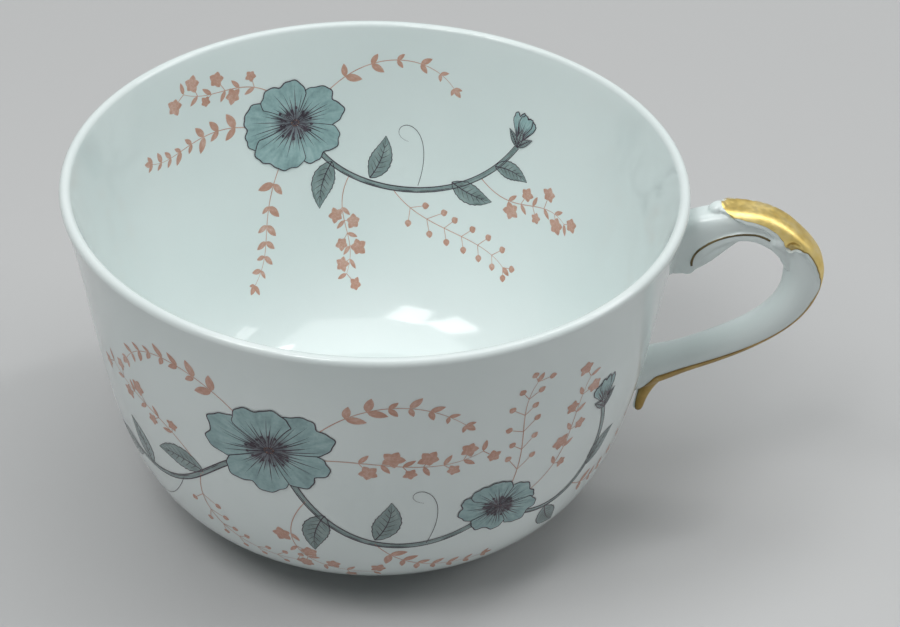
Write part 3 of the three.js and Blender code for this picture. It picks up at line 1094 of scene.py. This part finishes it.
class Drawing:
    """A flat drawing whose shapes are kept apart by colour; its motifs take millimetres and degrees"""

    def __init__(self, seed):
        self.chance = random.Random(seed)
        self.petals, self.leaves, self.ink, self.rust = [], [], [], []

    def about(self, value, share):
        return value * self.chance.uniform(1 - share, 1 + share)

    def stroke(self, layer, path, width, start=0.3, end=0.1, blank=stroke_blank, level=0):
        """A brush stroke along a path, thickest before its middle"""
        lift = level + self.chance.uniform(0, paint_spread)
        thickest = 0.45

        def spot(across, along):
            place, heading = on_path(path, along)
            if along < thickest:
                swell = eased(start, 1, along / thickest)
            else:
                swell = eased(1, end, (along - thickest) / (1 - thickest))
            return place - turned_left(heading) * across * width / 2 * swell

        layer.append(flat_copy(blank, spot, lift))

    def drop(self, layer, start, degrees, length, width, level=0):
        """A small lens or drop that begins at its start"""
        heading = pointing(degrees)

        def spot(across, along):
            half = width / 2 * math.sin(math.pi * along ** 0.85) ** 0.75 if 0 < along < 1 else 0
            return start + heading * length * along - turned_left(heading) * across * half

        layer.append(flat_copy(drop_blank, spot, level + self.chance.uniform(0, paint_spread)))

    def petal(self, centre, turn, length, half_angle, slant, flatten, order):
        """A notched, waved petal with an inked rim, veins and a hatched throat"""
        chance = self.chance
        notch = chance.uniform(0.06, 0.12)
        phase = chance.uniform(0, math.tau)
        lean = chance.uniform(-0.1, 0.1)
        slant_turn = Matrix.Rotation(math.radians(slant), 2)

        def spot(across, along):
            edge = 1 - petal_shoulder * abs(across) ** petal_squareness
            edge -= notch * math.exp(-(across / petal_notch_width) ** 2)
            for height, rate, shift in petal_waves:
                edge += height * math.sin(rate * across + shift * phase)
            spread = petal_root_spread + (1 - petal_root_spread) * along
            angle = math.radians(turn) + lean * along + across * math.radians(half_angle) * spread
            reach = length * (petal_root + (1 - petal_root) * along) * (1 + (edge - 1) * along ** 2)
            flat = Vector((math.cos(angle), math.sin(angle) * flatten)) * reach
            return centre + slant_turn @ flat

        def ray(across, start, end, steps):
            return [spot(across, start + (end - start) * step / steps) for step in range(steps + 1)]

        level = order * petal_step
        self.petals.append(flat_copy(petal_blank, spot, level))
        level += petal_ink
        side = [step / 10 for step in range(2, 10)]
        top = [step / 16 - 1 for step in range(33)]
        rim = [spot(-1, along) for along in side] + [spot(across, 1) for across in top]
        rim += [spot(1, along) for along in reversed(side)]
        self.stroke(self.ink, rim, line, 0.7, 0.5, edge_blank, level)
        for step in range(7):
            across = (step - 3) / 4 + chance.uniform(-0.08, 0.08)
            vein = ray(across, chance.uniform(0.12, 0.2), chance.uniform(0.5, 0.86), 8)
            self.stroke(self.ink, vein, self.about(hair, 0.3), 0.8, 0.15, level=level)
        for _ in range(9):
            across = chance.uniform(-0.85, 0.85)
            hatch = ray(across, chance.uniform(0.06, 0.14), chance.uniform(0.24, 0.4), 4)
            self.stroke(self.ink, hatch, self.about(1.3 * hair, 0.3), 0.9, 0.1, level=level)

    def blossom(self, centre, radius, turn, slant, flatten):
        """Overlapping petals round a tuft of stamens; each petal is drawn two places on from the last"""
        chance = self.chance
        centre, radius = in_mm(*centre), radius * MM
        slant_turn = Matrix.Rotation(math.radians(slant), 2)
        for order in range(petal_count):
            degrees = turn + 360 / petal_count * order * 2 + chance.uniform(-6, 6)
            length = self.about(radius, 0.08)
            self.petal(centre, degrees, length, chance.uniform(38, 43), slant, flatten, order)
        for step in range(stamen_count):
            degrees = step * 360 / stamen_count + chance.uniform(-8, 8)
            reach = radius * chance.uniform(0.2, 0.34)
            tip = centre + slant_turn @ Vector((pointing(degrees).x, pointing(degrees).y * flatten)) * reach
            self.stroke(self.ink, straight_path(centre, tip), hair, 1, 0.7, level=stamen_level)
            self.drop(self.ink, tip, degrees, *stamen_tip, stamen_level)
        for degrees in range(0, 360, 60):
            self.drop(self.rust, centre + pointing(degrees) * pollen_ring, degrees, *pollen)

    def blade(self, start, degrees, length, width, curl, level=0):
        """A leaf's blade on a bowed midrib, with toothed edges and side veins"""
        turn, bow = math.radians(degrees), math.radians(curl)
        lift = level + self.chance.uniform(0, paint_spread)

        def rib(along):
            half_bow = bow * along / 2
            chord = turn + half_bow
            reach = length * along * (math.sin(half_bow) / half_bow if half_bow else 1)
            return start + Vector((math.cos(chord), math.sin(chord))) * reach, turn + bow * along

        def spot(across, along):
            place, heading = rib(along)
            tooth = leaf_body + leaf_tooth_depth * (along * leaf_teeth % 1)
            half = width / 2 * math.sin(math.pi * along ** 0.8) * tooth if 0 < along < 1 else 0
            return place + Vector((math.sin(heading), -math.cos(heading))) * across * half

        self.leaves.append(flat_copy(leaf_blank, spot, lift))
        for across in (-1, 1):
            edge = [spot(across, step / 40) for step in range(41)]
            self.stroke(self.ink, edge, 0.75 * line, 0.8, 0.5, edge_blank, level)
            for step in range(6):
                root = 0.14 + 0.12 * step
                vein = [spot(across * 0.75 * part / 6, root + 0.13 * part / 6) for part in range(7)]
                self.stroke(self.ink, vein, 0.7 * hair, 1, 0.2, level=level)
        midrib = [spot(0, step / 20) for step in range(20)]
        self.stroke(self.ink, midrib, 0.8 * line, 1.2, 0.2, level=level)

    def leaf(self, start, degrees, length, width, curl):
        self.blade(in_mm(*start), degrees, length * MM, width * MM, curl)

    def bud(self, centre, degrees, length):
        """A closed flower of three folded petals, held by pointed sepals"""
        length *= MM
        heading = pointing(degrees)
        start = in_mm(*centre) - heading * length * 0.1
        foot = in_mm(*centre) - heading * length * 0.2
        for order, lean in enumerate((-16, 16, 0)):
            self.petal(start, degrees + lean, self.about(length, 0.05), 17, 0, 1, order)
        for lean in (-34, 0, 34):
            self.blade(foot, degrees + lean, length * 0.62, length * 0.2, lean / 2, sepal_level)

    def stem(self, points, width):
        """A stem washed in leaf colour between two ink lines"""
        width *= MM
        path = curve_path(points)
        self.stroke(self.leaves, path, width, 0.9, 0.7, edge_blank)

        def beside(share, part):
            place, heading = on_path(path, share)
            return place + turned_left(heading) * part * width

        for part in (-0.44, 0.44):
            edge = [beside(step / 40, part) for step in range(41)]
            self.stroke(self.ink, edge, line, 0.8, 0.6, edge_blank)
        for _ in range(10):
            start = self.chance.uniform(0, 0.9)
            shade = [beside(start + 0.08 * step / 5, -0.2) for step in range(6)]
            self.stroke(self.ink, shade, hair, 0.5, 0.1)

    def rust_stem(self, points, first, count):
        """A fine rust stem; gives the shares, places and headings, in degrees, at which things grow on it"""
        path = curve_path(points)
        self.stroke(self.rust, path, 1.2 * hair, 1, 0.5, edge_blank)
        growths = []
        for step in range(count):
            share = first + (1 - first) * step / (count - 1)
            place, heading = on_path(path, share)
            growths.append((share, place, math.degrees(math.atan2(heading.y, heading.x))))
        return growths

    def sprig(self, points, pairs, leaflet, berries=False):
        """Leaflets or berries in pairs along a rust stem"""
        leaflet *= MM
        growths = self.rust_stem(points, 0.18, pairs)
        for share, place, lean in growths:
            for side in (-1, 1):
                degrees = lean + side * self.chance.uniform(38, 62)
                reach = self.about(leaflet, 0.25) * (1.1 - 0.45 * share)
                if berries:
                    tip = place + pointing(degrees) * reach
                    self.stroke(self.rust, straight_path(place, tip), hair, 1, 0.8)
                    self.drop(self.rust, tip, degrees, 0.55 * leaflet, 0.5 * leaflet)
                else:
                    self.drop(self.rust, place, degrees, reach, 0.46 * reach)
        _, place, lean = growths[-1]
        self.drop(self.rust, place, lean, leaflet * 0.8, leaflet * 0.4)

    def cluster(self, points, florets, radius):
        """Small five-petalled flowers by turns on the two sides of a rust stem, each across from a leaflet"""
        chance = self.chance
        radius *= MM
        side = -1
        for _, place, lean in self.rust_stem(points, 0.3, florets):
            tip = place + pointing(lean + side * chance.uniform(40, 75)) * self.about(1.7 * radius, 0.3)
            self.stroke(self.rust, straight_path(place, tip), hair, 1, 0.8)
            self.floret(tip, self.about(radius, 0.25))
            self.drop(self.rust, place, lean - side * chance.uniform(35, 60), 1.6 * radius, 0.6 * radius)
            side = -side

    def floret(self, centre, radius):
        turn = self.chance.uniform(0, 72)
        for step in range(5):
            self.drop(self.rust, centre, turn + 72 * step, self.about(radius, 0.15), 0.85 * radius)

    def tendril(self, points):
        self.stroke(self.ink, curve_path(points), 0.8 * hair, 1, 0.4, edge_blank)


def wall_table(outline, sign):
    """Distances below the lip along an outline, each with its point and the direction off the surface"""
    table = []
    distance = 0
    for here, there in zip(outline, outline[1:]):
        heading = (there - here).normalized()
        table.append((distance, here, turned_left(heading) * sign))
        distance += (there - here).length
    return table


outside_table = wall_table(outside, 1)
inside_table = wall_table(inside, -1)


def on_wall(table, side, turn, spot, lift):
    """Lays a spot of a drawing on the wall: x runs round it, y is the drop below the lip"""
    drop = -spot.y
    for here, there in zip(table, table[1:]):
        if there[0] >= drop:
            break
    share = (drop - here[0]) / (there[0] - here[0])
    place = here[1].lerp(there[1], share) + here[2].lerp(there[2], share) * (lift + spot.z)
    angle = spot.x / wrap_radius + turn
    return Vector((axis_x + place.x * math.sin(angle), -side * place.x * math.cos(angle), place.y))


def lay_drawing(name, drawing, table, side, turn=0):
    """Each colour of a drawing becomes one layer of enamel on the wall"""
    for layer, shapes, lift, enamel in (
        ("leaves", drawing.leaves, wash_lift, leaf_enamel),
        ("petals", drawing.petals, petal_lift, petal_enamel),
        ("sprigs", drawing.rust, wash_lift, rust_enamel),
        ("ink", drawing.ink, ink_lift, ink_enamel),
    ):
        paint = join(shapes, name + "_" + layer)
        for corner in paint.data.vertices:
            corner.co = on_wall(table, side, turn, corner.co, lift)
        edit_all(paint)
        bpy.ops.mesh.remove_doubles(threshold=paint_merge)
        end_edit()
        apply_modifier(paint, "SOLIDIFY", thickness=paint_thickness, offset=0)
        make_outward(paint)
        finish_piece(paint, enamel, "porcelain")
        bpy.ops.object.shade_smooth_by_angle(angle=paint_edge_angle)


def draw_front():
    """A garland along the near wall: a large blossom high up, a smaller one lower down and a bud"""
    front = Drawing(5)
    front.sprig([(-17, -14), (-24, -6), (-33, -7), (-38, -14)], 8, 2.6)
    front.sprig([(-6, -14), (1, -6), (8, -7), (14, -13)], 7, 2.5)
    front.sprig([(22, -30), (25, -20), (21, -14), (24, -8)], 6, 2.2, berries=True)
    front.sprig([(2, -37), (6, -43), (13, -46), (21, -45)], 7, 2.5)
    front.sprig([(-25.5, -29.4), (-29, -39), (-20, -45), (-11, -44)], 7, 2.2, berries=True)
    front.sprig([(36, -35), (42, -40), (48, -38), (52, -32)], 6, 2.3)
    front.cluster([(-9, -20), (1, -17), (9, -23), (17, -19)], 7, 1.35)
    front.cluster([(-25, -29), (-30, -20), (-37, -22), (-43, -18)], 6, 1.3)
    front.cluster([(24, -32), (34, -28), (31, -19), (34, -12)], 6, 1.25)
    front.cluster([(-8.2, -28.4), (-14.5, -38), (-10, -46), (2, -46)], 6, 1.3)
    front.stem([(-15, -21), (-24, -25), (-28, -37), (-42, -35)], 0.95)
    front.stem([(-11, -22), (-6, -38), (8, -42), (20, -33)], 1.1)
    front.stem([(22, -33), (32, -42), (44, -34), (39, -21)], 0.9)
    front.leaf((-24.9, -28.5), 165, 9.5, 4.4, 35)
    front.leaf((-38.5, -35.3), 95, 8.5, 4, 30)
    front.leaf((-41.5, -35), 195, 9, 4, -30)
    front.leaf((-5.5, -31), -120, 9, 4.2, 35)
    front.leaf((2, -36), 55, 9, 4.2, 40)
    front.leaf((31, -37.2), -75, 8, 3.8, 40)
    front.leaf((39, -33), 60, 7.5, 3.6, -40)
    front.blossom((-13, -19), 9.6, 20, 12, 0.86)
    front.blossom((21, -32), 7.2, 55, -20, 0.78)
    front.bud((39, -20), 100, 5.6)
    front.tendril([(-29.8, -32.7), (-35, -43), (-44, -46), (-45, -38), (-40, -40)])
    front.tendril([(10, -37.5), (14, -26), (8, -22), (5, -27), (9, -28)])
    return front


def draw_bowl_inside():
    """A spray across the far inside of the bowl, its blossom on the left"""
    spray = Drawing(11)
    spray.sprig([(-20, -15.5), (-31, -10), (-37, -16), (-43, -13)], 8, 2.5)
    spray.sprig([(-11, -12), (-3, -3), (7, -4), (11, -9)], 6, 2.3)
    spray.sprig([(1.3, -27.1), (7, -35), (18, -33), (24, -37)], 7, 2.4, berries=True)
    spray.sprig([(-16.5, -19), (-24, -31), (-20, -36), (-26, -41)], 7, 2.4)
    spray.cluster([(-16, -12), (-22, -4), (-28, -9), (-34, -5)], 6, 1.25)
    spray.cluster([(17, -23), (24, -29), (29, -22), (35, -25)], 6, 1.25)
    spray.cluster([(-6, -25), (-10, -32), (-4, -36), (-7, -42)], 6, 1.25)
    spray.stem([(-13, -17), (-8, -30), (14, -32), (23, -16)], 0.9)
    spray.leaf((-9, -22.5), -125, 8.5, 4, 35)
    spray.leaf((-2.5, -25.6), 50, 8, 3.8, 40)
    spray.leaf((12, -25), -30, 8, 3.6, 35)
    spray.leaf((19.5, -20.5), 10, 6.5, 3, -35)
    spray.blossom((-15, -15), 8.8, 40, -10, 0.88)
    spray.bud((23.2, -15), 80, 5.4)
    spray.tendril([(6, -26.5), (9, -16), (3, -13), (0, -18), (4, -19)])
    return spray


def draw_back():
    """A small spray on the wall that faces away"""
    spray = Drawing(23)
    spray.sprig([(1, -29.6), (-4, -19), (-13, -21), (-21, -17)], 8, 2.4)
    spray.sprig([(2.7, -28.4), (12, -39), (20, -34), (26, -38)], 7, 2.3, berries=True)
    spray.cluster([(8, -24), (17, -20), (20, -26), (27, -22)], 6, 1.25)
    spray.cluster([(-6.7, -34.3), (-14, -41), (-8, -45), (-1, -43)], 5, 1.25)
    spray.stem([(-18, -34), (-6, -38), (2, -30), (10, -20)], 0.9)
    spray.leaf((-16.5, -34.4), 150, 8, 3.8, 30)
    spray.leaf((-7, -34), 60, 8, 3.8, 35)
    spray.leaf((2, -28.6), -60, 7.5, 3.6, 35)
    spray.blossom((11, -19), 6.8, 10, 15, 0.82)
    return spray


lay_drawing("front_garland", draw_front(), outside_table, 1)
lay_drawing("inside_spray", draw_bowl_inside(), inside_table, -1)
lay_drawing("back_spray", draw_back(), outside_table, 1, math.pi)
for blank in (petal_blank, leaf_blank, stroke_blank, edge_blank, drop_blank):
    bpy.data.objects.remove(blank)


# Floor, light and camera

floor_size = 6
floor_greys = [(0.3, 0.53), (0.7, 0.55)]
floor_roughness = 0.8
sky = (0.86, 0.9, 0.92, 1)
sky_light = 0.12
sky_seen = 0.5


def make_floor():
    clear_selection()
    bpy.ops.mesh.primitive_plane_add(size=floor_size, location=(0, 0, 0))
    floor = named("floor")
    finish = Finish("floor")
    grain = finish.ramp(finish.noise(finish.object_place(), 3, 2), floor_greys)
    floor.data.materials.append(finish.show({"Base Color": grain, "Roughness": floor_roughness}))


def make_light(name, place, aim, size, power, colour=(1, 1, 1)):
    clear_selection()
    bpy.ops.object.light_add(type="AREA", location=place)
    lamp = bpy.context.object
    lamp.name = name
    lamp.data.shape = "RECTANGLE"
    lamp.data.size, lamp.data.size_y = size
    lamp.data.energy = power
    lamp.data.color = colour
    heading = Vector(aim) - Vector(place)
    lamp.rotation_euler = heading.to_track_quat("-Z", "Y").to_euler()


def make_world():
    """A dim sky that looks brighter to the eye, in reflections and through glass"""
    world = bpy.data.worlds.new("studio")
    bpy.context.scene.world = world
    world.use_nodes = True
    tree = world.node_tree
    background = tree.nodes["Background"].inputs
    path = add_node(tree, "LightPath").outputs
    seen = path["Is Camera Ray"]
    for kind in ("Is Glossy Ray", "Is Transmission Ray"):
        either = add_node(tree, "Math", {0: seen, 1: path[kind]}, operation="MAXIMUM")
        seen = either.outputs["Value"]
    strength = add_node(tree, "MapRange", {"Value": seen, "To Min": sky_light, "To Max": sky_seen})
    put(tree, sky, background["Color"])
    put(tree, strength.outputs["Result"], background["Strength"])


def make_camera():
    """Stands where the cup is seen from 35.5 degrees above, turned a little about the line of sight"""
    rise = math.radians(35.498)
    roll = math.radians(1.906)
    distance = 422.6 * MM
    aim = Vector((axis_x + 11.46 * MM, 0, cup_height - 24.37 * MM))
    clear_selection()
    bpy.ops.object.camera_add()
    camera = bpy.context.object
    camera.data.lens = 112
    camera.data.sensor_width = 36
    turn = Matrix.Rotation(math.pi / 2 - rise, 4, "X") @ Matrix.Rotation(roll, 4, "Z")
    camera.matrix_world = Matrix.Translation(aim) @ turn @ Matrix.Translation((0, 0, distance))
    bpy.context.scene.camera = camera


cup_middle = (0, 0, 0.03)
make_floor()
make_light("overhead cloth", (0, 0.1, 1), cup_middle, (0.9, 0.9), 5, (0.97, 1, 1))
make_light("left ceiling panel", (-0.42, -0.22, 0.74), cup_middle, (0.2, 0.3), 1.3)
make_light("middle ceiling panel", (-0.2, -0.36, 0.76), cup_middle, (0.2, 0.3), 1.3)
make_light("ceiling strip", (0.42, 0.24, 0.74), cup_middle, (0.06, 0.4), 1)
make_light("side window", (0.85, 0.05, 0.6), (0.04, 0, 0.04), (0.4, 0.4), 1.6)
make_world()
make_camera()
bpy.context.scene.view_settings.view_transform = "Standard"
